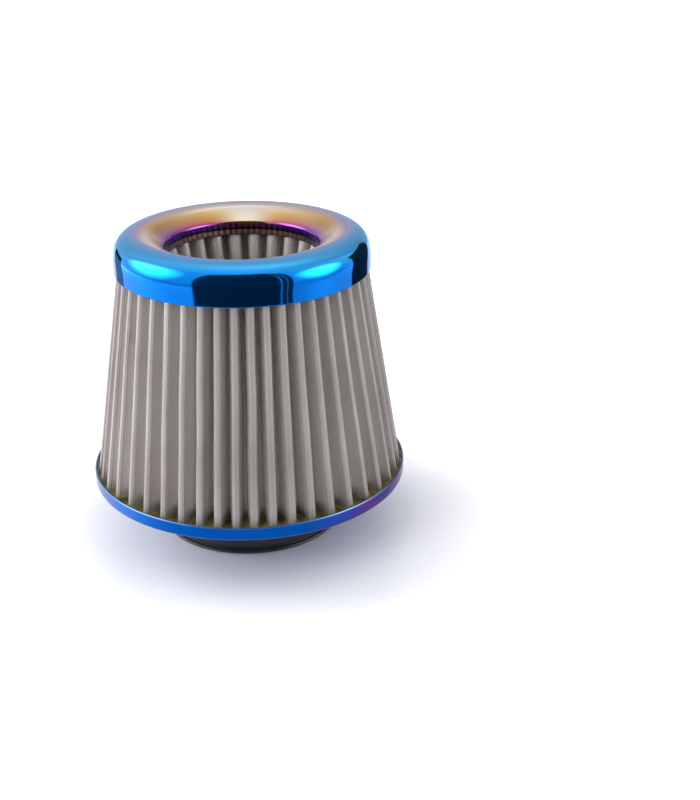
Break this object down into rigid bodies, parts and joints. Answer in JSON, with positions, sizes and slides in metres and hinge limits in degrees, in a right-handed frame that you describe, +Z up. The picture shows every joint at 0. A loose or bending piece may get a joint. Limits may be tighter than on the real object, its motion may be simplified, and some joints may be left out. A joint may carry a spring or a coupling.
{
  "type": "cone air filter",
  "caption": "Cone intake air filter: a folded steel-mesh cone between a blue dish and a heat-tinted funnel crown, an inverted inner cone in its throat, and a rubber neck for a pipe.",
  "frame": {"origin": "middle of the neck's lower end, which the part stands on", "axes": "+Z up along the filter's axis, from the neck to the crown"},
  "size_m": [0.155, 0.155, 0.1502],
  "materials": {
    "crown_metal": "mirror-bright metal with heat-tint colours, blue on the skirt and gold to violet in the funnel",
    "dish_metal": "bright metal with a deep blue heat tint that turns violet on one side",
    "steel_mesh": "fine plain-woven steel wire, dull grey",
    "potting_resin": "cast olive resin with small bubbles",
    "neck_rubber": "moulded black rubber, satin",
    "cap_rubber": "moulded black rubber, matt"
  },
  "bodies": {
    "root": {"crown_ring": "crown_metal", "crown_resin": "potting_resin", "outer_pleats": "steel_mesh", "inner_pleats": "steel_mesh", "inner_cap": "cap_rubber", "base_dish": "dish_metal", "base_resin": "potting_resin", "neck": "neck_rubber"}
  },
  "joints": []
}
